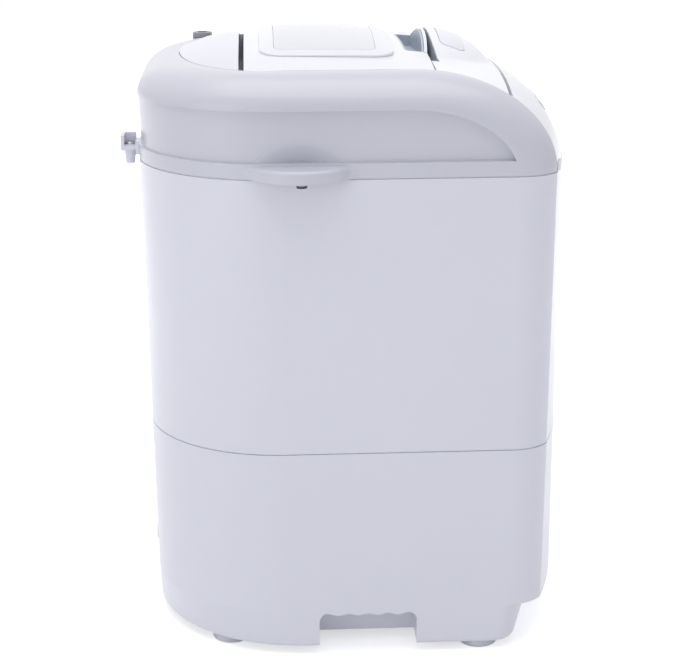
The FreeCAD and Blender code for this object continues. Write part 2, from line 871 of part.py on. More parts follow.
def carry_lip():
    """Lip on the right side that flows into the flange, hollow below for the fingers, with a screw boss."""
    radius = lip_radius()
    centre_x = half_width + lip_reach - radius
    top = seam_height + lip_height
    zone = block(half_width / 2, far, lip_centre_y - lip_length, lip_centre_y + lip_length, 0, above)
    flange = Part.Face(plan_outline(seam_height, 0, 0)).extrude(V(0, 0, lip_height)).common(zone)
    lip = fused([flange, upright(radius, centre_x, lip_centre_y, seam_height, top)])

    def root(edge):
        box = edge.BoundBox
        near = abs(box.YMin - lip_centre_y) < lip_length * 0.75
        return box.ZLength > lip_height / 2 and box.XMin > half_width - lip_reach and near

    lip = lip.makeFillet(lip_blend_radius, [edge for edge in lip.Edges if root(edge)])

    def brow(edge):
        box = edge.BoundBox
        return box.ZMin > top - 0.1 and box.XMax > half_width - lip_reach and box.YLength > 1

    lip = lip.makeFillet(lip_edge_radius, [edge for edge in lip.Edges if brow(edge)])
    hollow = upright(radius - lip_skin, centre_x, lip_centre_y, seam_height - 1, top - lip_skin)
    hollow = hollow.common(block(half_width, far, -far, far, 0, above))
    boss = upright(lip_boss_radius, lip_boss_x(), lip_centre_y, seam_height, top - lip_skin)
    outside = block(half_width - panel_depth_foot, far, -far, far, 0, above)
    lip = lip.cut(hollow).fuse(boss).common(outside)
    depth = lip_screw_length - lip_ear_thickness
    return lip.cut(upright(screw_radius + pin_fit, lip_boss_x(), lip_centre_y, seam_height - 1,
                           seam_height + depth + seat_gap))


def scoop(extra):
    """What the soft dish above the right carry lip takes away, set in by extra."""
    half = scoop_half_width / 2
    radius = (half ** 2 + scoop_depth ** 2 / 4) / scoop_depth
    bend = half / 2
    sag = radius - math.sqrt(radius ** 2 - bend ** 2)
    edges = [
        arc(V(-scoop_depth, 0, 0), V(sag - scoop_depth, 0, bend), V(-scoop_depth / 2, 0, half)),
        arc(V(-scoop_depth / 2, 0, half), V(-sag, 0, half + bend), V(0, 0, scoop_half_width)),
        line(V(0, 0, scoop_half_width), V(scoop_half_width, 0, scoop_half_width)),
        line(V(scoop_half_width, 0, scoop_half_width), V(scoop_half_width, 0, 0)),
        line(V(scoop_half_width, 0, 0), V(-scoop_depth, 0, 0)),
    ]
    dish = Part.Face(Part.Wire(edges)).revolve(ORIGIN, X_AXIS, 360)
    rise = crease_height + 1 - seam_height
    lean = (panel_depth_foot - panel_depth_top) / rise
    dish.rotate(ORIGIN, Y_AXIS, math.degrees(math.atan(lean)))
    centre_z = flange_top - scoop_drop
    face_x = half_width - panel_depth_foot + lean * (centre_z - seam_height)
    dish.translate(V(face_x - extra, lip_centre_y, centre_z))
    return dish


def hinge_post():
    x0 = hinge_lug_inner_x + hinge_lug_width + hinge_post_gap
    x1 = x0 + hinge_post_width
    post = block(x0, x1, hinge_y - hinge_post_radius, hinge_y + hinge_post_radius,
                 ledge_height - ledge_thickness, hinge_axis_height)
    post = post.fuse(along_x(hinge_post_radius, hinge_y, hinge_axis_height, x0, x1))
    return post.cut(along_x(hinge_pin_radius + pin_fit, hinge_y, hinge_axis_height, x0 - 1, x1 + 1))


def mouth():
    return rounded_block(-mouth_half_width, mouth_half_width, tub_y - mouth_half_length,
                         tub_y + mouth_half_length, 0, above, mouth_corner_radius)


def top_frame():
    outer = shouldered_block(0, seam_height)
    shell = outer.cut(side_panel_cut()).cut(frame_room())
    zone = block(-far, far, -far, far, seam_height + 1, crease_height)
    for dish in both_sides(scoop(wall)):
        shell = shell.fuse(dish.common(outer).common(zone))
    for dish in both_sides(scoop(0)):
        shell = shell.cut(dish.common(block(-far, far, -far, far, flange_top, above)))
    sill_top = seam_height + sill_height
    ledge_foot = ledge_height - ledge_thickness
    shell = shell.cut(opening_prism(0, sill_top, above))
    panel_room = deck_sheet(panel_stations(), seat_gap, skin + 2 * seat_gap)
    shell = shell.cut(panel_room.common(opening_prism(0, 0, above)))
    rim_wall = opening_prism(-wall, sill_top, above).cut(opening_prism(0, sill_top - 1, above + 1))
    rim_wall = rim_wall.common(outer)
    behind = rim_wall.common(block(-far, far, bulkhead_y - bulkhead_thickness, far, ledge_foot, above))
    ahead = rim_wall.common(block(-far, far, -far, bulkhead_y, sill_top, above))
    ledge = opening_prism(-wall / 2, ledge_foot, ledge_height)
    ledge = ledge.common(block(-far, far, bulkhead_y - bulkhead_thickness, far, 0, above)).cut(mouth())
    bulkhead = opening_prism(-wall / 2, ledge_foot, above)
    bulkhead = bulkhead.common(block(-far, far, bulkhead_y - bulkhead_thickness, bulkhead_y, 0, above))
    bulkhead = bulkhead.common(deck_sheet(front_deck_stations(), -skin - seat_gap, body_depth / 4))
    bulkhead = bulkhead.cut(hump(-seat_gap))
    paired = both_sides(hinge_post()) + both_sides(carry_lip())
    frame = fused([shell, behind, ahead, ledge, bulkhead] + paired)
    cup = upright(inlet_well_radius + wall, inlet_x, inlet_y, inlet_foot(), above).common(outer)
    well = upright(inlet_well_radius, inlet_x, inlet_y, inlet_well_floor, above)
    hole = upright(inlet_neck_radius + seat_gap, inlet_x, inlet_y, crease_height, above)
    return fused([frame, cup]).cut(well).cut(hole)


# Deck pieces

def rear_deck():
    sheet = deck_sheet(rear_deck_stations(), 0, skin).common(opening_prism(deck_gap, 0, above))
    return sheet.common(block(-far, far, rear_deck_y, far, 0, above))


def lid_surface(lift, thickness):
    return deck_sheet(lid_stations(), lift, thickness)


def window_dome(lift):
    """Crowned body under the raised window, its middle a long plateau that falls at both ends."""
    over = window_rim_rear / 4
    rear = window_rear_y + over
    front = window_front_y - over
    wires = []
    for i in range(window_stations):
        share = i / (window_stations - 1)
        swell = 1 - abs(2 * share - 1) ** 4
        crown = window_crown_rear + (window_crown_front - window_crown_rear) * share + window_bulge * swell
        place = V(0, rear + (front - rear) * share, window_edge_height - window_edge_fall * share ** 2)
        wires.append(section(place, Z_AXIS, window_half_width, crown, lift, body_depth / 4))
    return Part.makeLoft(wires, True, False)


def window_prism(side, rear, front, radius):
    return rounded_block(-window_half_width + side, window_half_width - side, window_front_y + front,
                         window_rear_y - rear, 0, above, radius)


def lid_front(inset):
    """Upright cylinder whose front side is the bowed front face of the grip lip."""
    radius = (grip_lip_half_width ** 2 + grip_lip_bow ** 2) / (2 * grip_lip_bow)
    return upright(radius - inset, 0, lid_front_y - grip_lip_bow + radius, 0, above)


def grip_tray_prism(inset):
    """Finger recess behind the grip lip."""
    rear = lid_front_y + grip_lip_thickness + grip_tray_length
    plan = rounded_block(-grip_tray_half_width + inset, grip_tray_half_width - inset,
                         lid_front_y - grip_tray_length, rear - inset, 0, above, grip_tray_corner - inset)
    return plan.common(lid_front(grip_lip_thickness + inset))


def arched_prism(half, drop):
    """Upright slab across the lid front, arched like the hump behind it."""
    y = lid_front_y - grip_lip_bow - 1
    foot_z = rim_height - skin
    left = V(-half, y, rim_height + grip_lip_end_rise - drop)
    right = V(half, y, rim_height + grip_lip_end_rise - drop)
    edges = [
        arc(left, V(0, y, rim_height + grip_lip_rise - drop), right),
        line(right, V(half, y, foot_z)),
        line(V(half, y, foot_z), V(-half, y, foot_z)),
        line(V(-half, y, foot_z), left),
    ]
    return prism(edges, V(0, 2 * grip_tray_length, 0))


def grip_lip():
    """Upright finger lip along the front of the lid, bowed to the front."""
    return arched_prism(grip_lip_half_width, 0).common(lid_front(0)).cut(lid_front(grip_lip_thickness))


def hinge_lug():
    x0 = hinge_lug_inner_x
    x1 = x0 + hinge_lug_width
    lug = block(x0, x1, hinge_y - hinge_lug_radius, hinge_y + hinge_lug_radius, hinge_axis_height, above)
    lug = lug.fuse(along_x(hinge_lug_radius, hinge_y, hinge_axis_height, x0, x1))
    lug = lug.cut(along_x(hinge_pin_radius + pin_fit, hinge_y, hinge_axis_height, x0 - 1, x1 + 1))
    return lug.common(lid_surface(-skin / 2, body_depth / 4))


def lid():
    sheet = lid_surface(0, skin).common(opening_prism(deck_gap, 0, above))
    sheet = sheet.common(block(-far, far, lid_front_y, lid_rear_y, 0, above))
    sheet = sheet.cut(window_prism(window_seat, window_seat, window_seat, window_corner_radius - window_seat))
    sheet = sheet.cut(grip_tray_prism(0))
    return fused([sheet, grip_lip()] + both_sides(hinge_lug()))


def window_body():
    """Raised cap over the window hole, hollow below, standing on the lid."""
    cap = window_prism(0, 0, 0, window_corner_radius).common(window_dome(0))
    room = window_prism(window_shell, window_shell, window_shell, window_corner_radius - window_shell)
    cap = cap.cut(room.common(window_dome(-window_shell)))
    return cap.cut(lid_surface(seat_gap, body_depth / 4))


def pane_prism(gap):
    return window_prism(window_rim_side + gap, window_rim_rear + gap, window_rim_front + gap,
                        window_corner_radius - window_rim_side)


def window_bezel():
    return window_body().cut(pane_prism(0))


def lid_window():
    return window_body().common(pane_prism(seat_gap))


def lid_grip():
    """Grey tray let into the lid; its front wall rises along the back of the grip lip."""
    low = rim_height + grip_lip_end_rise - grip_tray_depth
    upper = block(-far, far, -far, far, low, above)
    floor = block(-far, far, -far, far, low, low + grip_tray_wall)
    outer = grip_tray_prism(seat_gap).common(upper)
    room = grip_tray_prism(seat_gap + grip_tray_wall)
    tray = outer.cut(room.cut(floor)).common(lid_surface(-deck_gap, body_depth / 4))
    apron = outer.common(arched_prism(grip_tray_half_width - seat_gap, grip_tray_drop))
    apron = apron.cut(lid_front(grip_lip_thickness + seat_gap + grip_tray_wall))
    return fused([tray, apron])


def hinge_pin(side):
    x1 = hinge_lug_inner_x + hinge_lug_width + hinge_post_gap + hinge_post_width
    pin = along_x(hinge_pin_radius, hinge_y, hinge_axis_height, hinge_lug_inner_x, x1)
    return pin if side > 0 else mirrored(pin)


def lid_rests():
    under = lid_surface(-skin - seat_gap, body_depth / 4)
    post = upright(lid_rest_radius, lid_rest_x, lid_rest_y, ledge_height, above).common(under)
    return Part.makeCompound(both_sides(post))


def hump(lift):
    """Rounded hump that sinks into the front deck, its rear face a shallow arc in plan."""
    wires = []
    for i in range(hump_stations):
        share = i / (hump_stations - 1)
        y = hump_rear_y - hump_length * share
        half = hump_half_width * (1 - hump_taper * share ** 2)
        top = rim_height + hump_rise - hump_lean * share - hump_roll * share ** hump_roll_power
        foot = seam_height + cheek_height * math.cos(slope_angle(y)) - skin
        left = V(-half, y, foot + lift)
        right = V(half, y, foot + lift)
        wires.append(Part.Wire([arc(left, V(0, y, top + lift), right), line(right, left)]))
    return Part.makeLoft(wires, True, False).common(hump_rear(0))


def hump_rear(inset):
    """Upright cylinder whose rear side is the rear face of the hump."""
    radius = hump_half_width ** 2 / (2 * hump_rear_sagitta)
    return upright(radius - inset, 0, hump_rear_y - radius, 0, above)


def latch_pocket(gap):
    """Shallow pocket in the rear face of the hump, under its rim."""
    reach = latch_plate_half_width - gap
    zone = block(-reach, reach, bulkhead_y, far, rim_height - skin / 2 + gap, above)
    return hump(-latch_plate_margin - gap).cut(hump_rear(latch_plate_thickness)).common(zone)


def cap_prism(gap):
    rear = hump_rear_y - cap_setback
    return rounded_block(-cap_half_width + gap, cap_half_width - gap, rear - cap_length + gap, rear - gap,
                         0, above, cap_corner_radius)


def hump_foot_edge(box):
    """True for the edge where the sides and front of the hump meet the deck."""
    across = box.XMax - box.XMin
    return across > hump_half_width and box.YMax - box.YMin > hump_length / 2


def front_deck():
    sheet = deck_sheet(front_deck_stations(), 0, skin).common(opening_prism(deck_gap, 0, above))
    well = block(-hump_half_width, hump_half_width, bulkhead_y, far, 0, above).cut(hump_rear(0))
    sheet = sheet.common(block(-far, far, -far, front_deck_y, 0, above)).cut(well)
    deck = fused([sheet, hump(0)])
    foot = [edge for edge in deck.Edges if hump_foot_edge(edge.BoundBox)]
    deck = deck.makeFillet(hump_foot_radius, foot).cut(latch_pocket(0))
    pocket = hump(-cap_thickness - cap_travel - cap_floor_gap)
    return deck.cut(cap_prism(0).cut(pocket)).Solids[0]


def latch_plate():
    return latch_pocket(seat_gap)


def release_cap():
    return cap_prism(key_gap).common(hump(cap_proud)).cut(hump(-cap_thickness))


# Control panel group

def slope_frame(shape, angle):
    """Stand a shape made about the origin, +Z outward, on the middle of the front slope."""
    place, outward, reach, crown = station(angle, front_crown(angle))
    lean = math.degrees(math.atan2(-outward.y, outward.z))
    shape.rotate(ORIGIN, X_AXIS, lean)
    shape.translate(place + outward * crown)
    return shape


def slope_pad(angle, x, width, length, radius, gap):
    """Prism through the panel skin, square to the slope, for a key or a lens."""
    half_long = length / 2 - gap
    half_wide = width / 2 - gap
    deep = board_depth / 2
    pad = rounded_block(x - half_wide, x + half_wide, -half_long, half_long, -deep, deep, radius)
    return slope_frame(pad, angle)


def key_places():
    start = -key_pitch * (key_count - 1) / 2
    return [start + i * key_pitch for i in range(key_count)]


def key_pad(x, gap):
    return slope_pad(key_angle, x, key_width, key_length, key_corner_radius, gap)


def display_pad(gap):
    return slope_pad(display_angle, 0, display_width, display_length, display_corner_radius, gap)


def control_panel():
    sheet = deck_sheet(panel_stations(), 0, skin).common(opening_prism(deck_gap, 0, above))
    under = deck_sheet(panel_stations(), -skin / 2, body_depth / 4)
    posts = []
    for sx in (-1, 1):
        for sy in (-1, 1):
            x = sx * (board_width / 2 - board_post_inset)
            y = sy * (board_length / 2 - board_post_inset)
            post = upright(board_post_radius, x, y, -board_depth, board_depth)
            posts.append(slope_frame(post, key_angle).common(under))
    panel = fused([sheet] + posts).cut(display_pad(0))
    for x in key_places():
        panel = panel.cut(key_pad(x, 0))
    return panel


def display_lens():
    return display_pad(key_gap).common(deck_sheet(panel_stations(), 0, skin))


def key(x):
    cap = key_pad(x, key_gap).common(deck_sheet(panel_stations(), key_proud, key_thickness))
    stem = upright(key_stem_radius, x, 0, -board_depth + key_travel + board_clearance, -key_thickness / 2)
    return fused([cap, slope_frame(stem, key_angle)])


def control_board():
    board = block(-board_width / 2, board_width / 2, -board_length / 2, board_length / 2,
                  -board_depth - board_thickness, -board_depth)
    return slope_frame(board, key_angle)


# Water inlet and hose hook

def inlet_foot():
    return inlet_well_floor - wall


def valve_top():
    return inlet_foot() - inlet_flange_thickness


def water_inlet():
    """Hose spigot in a sunk well of the rear shoulder, with a flange below the skin."""
    neck = upright(inlet_neck_radius, inlet_x, inlet_y, valve_top(), inlet_top)
    spigot = upright(inlet_radius, inlet_x, inlet_y, inlet_well_floor + inlet_neck_rise, inlet_top)
    flange = upright(inlet_flange_radius, inlet_x, inlet_y, valve_top(), inlet_foot())
    return fused([neck, spigot, flange]).cut(upright(inlet_bore_radius, inlet_x, inlet_y, 0, above))


def spout_height():
    return ledge_height - ledge_thickness - seat_gap - spout_radius


def inlet_valve():
    top = valve_top()
    body = upright(valve_radius, inlet_x, inlet_y, top - valve_length, top)
    return body.cut(upright(inlet_bore_radius, inlet_x, inlet_y, top - valve_length / 3, top + 1))


def fill_spout():
    """Tube from the valve to above the basket, under the ledge of the top frame."""
    start = V(inlet_x, inlet_y, spout_height())
    direction = (V(0, tub_y, spout_height()) - start).normalize()
    length = valve_radius + spout_length
    tube = Part.makeCylinder(spout_radius, length, start, direction)
    bore = Part.makeCylinder(spout_bore_radius, length + 1, start, direction)
    return tube.cut(bore).cut(upright(valve_radius + seat_gap, inlet_x, inlet_y, 0, above))


def hose_hook():
    x0 = hook_x - hook_width / 2
    x1 = hook_x + hook_width / 2
    end_y = rear_y + hook_reach
    ledge_z = seam_height + hook_ledge_rise
    ledge_top = ledge_z + hook_ledge_thickness
    ledge = block(x0, x1, rear_y, end_y, ledge_z, ledge_top)
    back = block(x0, x1, rear_y, rear_y + hook_plate, seam_height + 1, flange_top)
    lip = block(x0, x1, end_y - hook_plate, end_y, ledge_top - hook_lip_drop, ledge_top + hook_lip_rise)
    web = block(x1 - hook_plate, x1, rear_y, end_y, ledge_z, ledge_top + hook_web_height)
    web = web.cut(block(-far, far, 0, rear_y + hook_plate, flange_top, above))
    boss = Part.makeCone(hook_boss_foot_radius, hook_boss_top_radius, hook_boss_length,
                         V(hook_x, rear_y + hook_screw_y, ledge_z - hook_boss_length), Z_AXIS)
    hook = fused([ledge, back, lip, web, boss])
    return hook.cut(upright(screw_radius + screw_fit, hook_x, rear_y + hook_screw_y, 0, above))


def hook_screw():
    head_z = seam_height + hook_ledge_rise + hook_ledge_thickness
    return screw(hook_x, rear_y + hook_screw_y, head_z, hook_ledge_thickness + hook_boss_length, False)


# Wash unit

def ear_foot():
    return tub_floor + ear_height


def outer_tub():
    inner = tub_radius - tub_wall
    floor_top = tub_floor + tub_wall
    bore = spin_tube_radius + 2 * seal_gap
    cup = spun([(bore, tub_floor), (tub_radius, tub_floor), (tub_radius, tub_top), (inner, tub_top),
                (inner, floor_top), (bore, floor_top)], 0, tub_y)
    for x, y in rod_places():
        ear = block(tub_radius - tub_wall / 2, ear_radius + ear_half_width, -ear_half_width, ear_half_width,
                    ear_foot(), ear_foot() + ear_thickness)
        ear = ear.cut(upright(rod_radius + rod_clearance, ear_radius, 0, 0, above))
        ear = ear.cut(upright(inner + tub_wall / 2, 0, 0, 0, above))
        ear.rotate(ORIGIN, Z_AXIS, math.degrees(math.atan2(y - tub_y, x)))
        ear.translate(V(0, tub_y, 0))
        cup = cup.fuse(ear)
    cup = cup.fuse(upright(sump_radius, drain_x, drain_y, tub_floor - sump_length, tub_floor + tub_wall / 2))
    return cup.cut(upright(sump_bore_radius, drain_x, drain_y, 0, floor_top + 1)).removeSplitter()


def tub_cover():
    outer = tub_radius + tub_cover_overhang
    skirt = tub_radius + seat_gap
    top = tub_top + tub_cover_thickness
    low = tub_top - tub_cover_thickness
    return spun([(tub_cover_bore_radius, tub_top), (skirt, tub_top), (skirt, low), (outer, low), (outer, top),
                 (tub_cover_bore_radius, top)], 0, tub_y)


def basket_floor():
    return tub_floor + tub_wall + basket_floor_gap


def spin_basket():
    floor = basket_floor()
    inner = basket_radius - basket_wall
    top = floor + basket_wall
    basket = spun([(basket_throat_radius, floor), (basket_radius, floor), (basket_radius, basket_top),
                   (inner, basket_top), (inner, top), (basket_throat_radius, top)], 0, tub_y)
    pitch = (basket_top - floor - 2 * basket_hole_margin) / (basket_hole_rows - 1)
    drills = []
    for row in range(basket_hole_rows):
        z = floor + basket_hole_margin + row * pitch
        for pair in range(basket_hole_pairs):
            turn = math.pi * (pair + row % 2 / 2) / basket_hole_pairs
            direction = V(math.cos(turn), math.sin(turn), 0)
            start = V(0, tub_y, z) - direction * 2 * basket_radius
            drills.append(Part.makeCylinder(basket_hole_radius, 4 * basket_radius, start, direction))
    return basket.cut(Part.makeCompound(drills))


def balance_ring():
    outer = basket_radius + ring_overhang
    inner = basket_radius - ring_width
    lap = basket_radius + seat_gap
    top = basket_top + ring_height / 2
    low = basket_top - ring_height / 2
    points = [(inner, basket_top), (lap, basket_top), (lap, low), (outer, low), (outer, top), (inner, top)]
    return spun(points, 0, tub_y)


def gearcase_foot():
    return tub_floor - gearcase_height


def basket_hub():
    floor = basket_floor()
    bore = shaft_radius + running_fit
    foot = gearcase_foot()
    return spun([(bore, foot), (spin_tube_radius, foot), (spin_tube_radius, floor - hub_thickness),
                 (hub_radius, floor - hub_thickness), (hub_radius, floor), (bore, floor)], 0, tub_y)


def pulsator_foot():
    return basket_floor() + basket_wall + pulsator_gap


def pulsator_seat():
    return pulsator_foot() + pulsator_edge + pulsator_rise


def pulsator():
    """Ribbed disc: a shallow cone with vanes, on top of the drive shaft."""
    foot = pulsator_foot()
    bore = shaft_radius + pin_fit
    disc = spun([(bore, foot), (pulsator_radius, foot), (pulsator_radius, foot + pulsator_edge),
                 (pulsator_cap_radius, pulsator_seat()), (bore, pulsator_seat())], 0, tub_y)
    tip = vane_inner_radius + vane_length
    shoulder = foot + pulsator_edge + vane_height - vane_half_width
    vane = fused([
        block(vane_inner_radius, tip, -vane_half_width, vane_half_width, foot + 1, shoulder),
        along_x(vane_half_width, 0, shoulder, vane_inner_radius, tip),
    ])
    vane = vane.common(upright(vane_length / 2, (vane_inner_radius + tip) / 2, 0, 0, above))
    vanes = []
    for i in range(vane_count):
        copy = vane.copy()
        copy.rotate(ORIGIN, Z_AXIS, 360 * i / vane_count)
        copy.translate(V(0, tub_y, 0))
        vanes.append(copy)
    return fused([disc] + vanes)


def pulsator_cap():
    seat = pulsator_seat()
    cap = upright(pulsator_cap_radius, 0, tub_y, seat, seat + pulsator_cap_height)
    top = [edge for edge in cap.Edges if edge.BoundBox.ZMin > seat + pulsator_cap_height - 0.1]
    return cap.makeFillet(pulsator_cap_height / 2, top)


def pulley_top():
    return gearcase_foot() - pulley_drop


def drive_shaft():
    return upright(shaft_radius, 0, tub_y, pulley_top() - pulley_height, pulsator_seat())


def pulley(radius, bore, y):
    """Grooved wheel; a wide one is dished to a thin web between hub and rim."""
    top = pulley_top()
    low = top - pulley_height
    floor = radius - groove_depth
    points = [(bore, low), (radius, low), (radius, low + pulley_flange), (floor, low + pulley_flange),
              (floor, top - pulley_flange), (radius, top - pulley_flange), (radius, top), (bore, top)]
    wheel = spun(points, 0, y)
    hub = bore + 2 * pulley_flange
    rim = floor - pulley_flange
    if rim > hub + pulley_flange:
        web = (pulley_height - pulley_web) / 2
        dish = [(hub, low - 1), (rim, low - 1), (rim, low + web), (hub, low + web)]
        wheel = wheel.cut(spun(dish, 0, y))
        dish = [(hub, top - web), (rim, top - web), (rim, top + 1), (hub, top + 1)]
        wheel = wheel.cut(spun(dish, 0, y))
    return wheel


def motor_y():
    return tub_y - motor_offset


def belt_loop(extra):
    """Filled outline of the belt round both pulleys, grown by extra."""
    big = pulley_radius - groove_depth + belt_gap + extra
    small = motor_pulley_radius - groove_depth + belt_gap + extra
    low = pulley_top() - pulley_height + pulley_flange + belt_gap
    height = pulley_height - 2 * pulley_flange - 2 * belt_gap
    lean = math.asin((big - small) / motor_offset)
    side_x = math.cos(lean)
    side_y = -math.sin(lean)
    big_right = V(big * side_x, tub_y + big * side_y, low)
    big_left = V(-big * side_x, tub_y + big * side_y, low)
    small_right = V(small * side_x, motor_y() + small * side_y, low)
    small_left = V(-small * side_x, motor_y() + small * side_y, low)
    edges = [
        arc(big_right, V(0, tub_y + big, low), big_left),
        line(big_left, small_left),
        arc(small_left, V(0, motor_y() - small, low), small_right),
        line(small_right, big_right),
    ]
    return prism(edges, V(0, 0, height))


def drive_belt():
    return belt_loop(belt_thickness).cut(belt_loop(0))


def gearcase():
    foot = gearcase_foot()
    bore = bearing_radius + pin_fit
    return upright_tube(gearcase_radius, bore, 0, tub_y, foot, tub_floor)


def bearings():
    foot = gearcase_foot() + bearing_inset
    top = tub_floor - bearing_inset
    bore = spin_tube_radius + running_fit
    return Part.makeCompound([
        upright_tube(bearing_radius, bore, 0, tub_y, foot, foot + bearing_height),
        upright_tube(bearing_radius, bore, 0, tub_y, top - bearing_height, top),
    ])


def shaft_seal():
    floor = tub_floor + tub_wall
    return upright_tube(seal_radius, spin_tube_radius + seal_gap, 0, tub_y, floor, floor + seal_height)


def motor_top():
    return tub_floor - motor_bracket_thickness


def motor():
    body = upright(motor_radius, 0, motor_y(), motor_top() - motor_height, motor_top())
    rim = [edge for edge in body.Edges if edge.Curve.TypeId == "Part::GeomCircle"]
    body = body.makeFillet(motor_edge_radius, rim)
    bore = motor_shaft_radius + running_fit
    return body.cut(upright(bore, 0, motor_y(), 0, motor_top() - motor_height / 4))


def motor_bracket():
    """Plate between the tub floor and the motor, cut round the gearcase."""
    half = motor_radius
    front = motor_y() - motor_radius * 0.6
    plate = block(-half, half, front, tub_y, motor_top(), tub_floor)
    plate = plate.cut(upright(gearcase_radius + seat_gap, 0, tub_y, 0, above))
    return plate.common(upright(tub_radius, 0, tub_y, 0, above))


def motor_shaft():
    top = motor_top() - motor_height / 4 - seat_gap
    return upright(motor_shaft_radius, 0, motor_y(), pulley_top() - pulley_height, top)


# Suspension

def cup_foot():
    return ear_foot() - cup_height


def suspension_rods():
    top = rod_bracket_height + rod_bracket_thickness
    piston_foot = cup_foot() + piston_rise
    piston_radius = cup_radius - cup_wall - piston_gap
    rods = []
    for x, y in rod_places():
        shank = upright(rod_radius, x, y, piston_foot, top)
        head = upright(rod_head_radius, x, y, top, top + rod_head_height)
        piston = upright(piston_radius, x, y, piston_foot, piston_foot + piston_height)
        rods.append(fused([shank, head, piston]))
    return Part.makeCompound(rods)


def damper_cups():
    cups = []
    for x, y in rod_places():
        cup = upright(cup_radius, x, y, cup_foot(), ear_foot())
        cup = cup.cut(upright(cup_radius - cup_wall, x, y, cup_foot() - 1, ear_foot() - cup_wall))
        cups.append(cup.cut(upright(rod_radius + rod_clearance, x, y, 0, above)))
    return Part.makeCompound(cups)


# Drain and electrics in the base

def drain_pump():
    """Volute with an inlet neck, its motor behind it and a nozzle to the right side."""
    floor = base_plate_top
    middle = floor + pump_height / 2
    volute = upright(pump_radius, drain_x, drain_y, floor, floor + pump_height)
    neck = upright(pump_neck_radius, drain_x, drain_y, floor, floor + pump_height + pump_neck_height)
    drive = along_x(pump_motor_radius, drain_y, middle, drain_x - pump_radius - pump_motor_length, drain_x)
    nozzle = along_x(pump_nozzle_radius, drain_y, outlet_height, drain_x, outlet_inner_x() - seat_gap)
    pump = fused([volute, neck, drive, nozzle])
    bore = along_x(pump_nozzle_bore_radius, drain_y, outlet_height, drain_x + pump_radius / 2, far)
    well = upright(sump_bore_radius, drain_x, drain_y, middle, above)
    return pump.cut(bore).cut(well)


def outlet_inner_x():
    return half_width - side_taper - wall - outlet_inner_length


def drain_outlet():
    face = half_width - taper(outlet_height - outlet_flange_radius)
    inner_x = face + seat_gap
    outer_x = inner_x + outlet_flange_thickness
    tube = along_x(pump_nozzle_radius, drain_y, outlet_height, outlet_inner_x(), face + outlet_reach)
    flange = along_x(outlet_flange_radius, drain_y, outlet_height, inner_x, outer_x)
    return fused([tube, flange]).cut(along_x(pump_nozzle_bore_radius, drain_y, outlet_height, 0, far))


def gland_face_y():
    return rear_y - taper(gland_height - gland_flange_radius)


def gland_inner_y():
    return gland_face_y() - wall - gland_inner_length


def cord_gland():
    inner_y = gland_face_y() + seat_gap
    outer_y = inner_y + outlet_flange_thickness
    bush = along_y(gland_radius, gland_x, gland_height, gland_inner_y(), gland_face_y() + gland_reach)
    flange = along_y(gland_flange_radius, gland_x, gland_height, inner_y, outer_y)
    return fused([bush, flange]).cut(along_y(gland_bore_radius, gland_x, gland_height, 0, far))


def drain_bellows():
    """Ribbed rubber tube from the tub sump down to the pump neck."""
    low = base_plate_top + pump_height + pump_neck_height
    high = tub_floor - sump_length
    root = sump_radius
    crest = sump_radius + bellows_rib_depth
    pitch = (high - low) / bellows_ribs
    outside = [(root, low)]
    for i in range(bellows_ribs):
        outside.append((crest, low + (i + 0.5) * pitch))
        outside.append((root, low + (i + 1) * pitch))
    inside = [(r - bellows_wall, z) for r, z in reversed(outside)]
    return spun(outside + inside, drain_x, drain_y)


def capacitor():
    top = base_plate_top + capacitor_height
    can = upright(capacitor_radius, capacitor_x, capacitor_y, base_plate_top, top)
    return can.makeFillet(can_edge_radius, [edge for edge in can.Edges if edge.BoundBox.ZMin > top - 0.1])


def sub_parts():
    parts = {
        "base_housing": base_housing(),
        "cabinet_shell": cabinet_shell(),
        "base_plate": base_plate(),
        "foot_screws": foot_screws(),
        "lip_screws": lip_screws(),
        "top_frame": top_frame(),
        "rear_deck": rear_deck(),
        "front_deck": front_deck(),
        "latch_plate": latch_plate(),
        "release_cap": release_cap(),
        "control_panel": control_panel(),
        "display_lens": display_lens(),
        "control_board": control_board(),
        "water_inlet": water_inlet(),
        "inlet_valve": inlet_valve(),
        "fill_spout": fill_spout(),
        "hose_hook": hose_hook(),
        "hook_screw": hook_screw(),
        "lid": lid(),
        "window_bezel": window_bezel(),
        "lid_window": lid_window(),
        "lid_grip": lid_grip(),
        "hinge_pin_left": hinge_pin(-1),
        "hinge_pin_right": hinge_pin(1),
        "lid_rests": lid_rests(),
        "outer_tub": outer_tub(),
        "tub_cover": tub_cover(),
        "spin_basket": spin_basket(),
        "balance_ring": balance_ring(),
        "basket_hub": basket_hub(),
        "pulsator": pulsator(),
        "pulsator_cap": pulsator_cap(),
        "drive_shaft": drive_shaft(),
        "drive_pulley": pulley(pulley_radius, shaft_radius + pin_fit, tub_y),
        "drive_belt": drive_belt(),
        "gearcase": gearcase(),
        "bearings": bearings(),
        "shaft_seal": shaft_seal(),
        "motor": motor(),
        "motor_bracket": motor_bracket(),
        "motor_shaft": motor_shaft(),
        "motor_pulley": pulley(motor_pulley_radius, motor_shaft_radius + pin_fit, motor_y()),
        "suspension_rods": suspension_rods(),
        "damper_cups": damper_cups(),
        "drain_pump": drain_pump(),
        "drain_outlet": drain_outlet(),
        "drain_bellows": drain_bellows(),
        "cord_gland": cord_gland(),
        "capacitor": capacitor(),
    }
    for name, (x, y) in foot_places().items():
        parts["foot_" + name] = foot(x, y)
    for number, x in enumerate(key_places(), start=1):
        parts["key_" + str(number)] = key(x)
    return parts


os.makedirs("parts", exist_ok=True)
for node, shape in sub_parts().items():
    shape.exportStep("parts/" + node + ".step")
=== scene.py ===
import json
import math

import bmesh
import bpy
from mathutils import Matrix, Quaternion, Vector
from mathutils.bvhtree import BVHTree


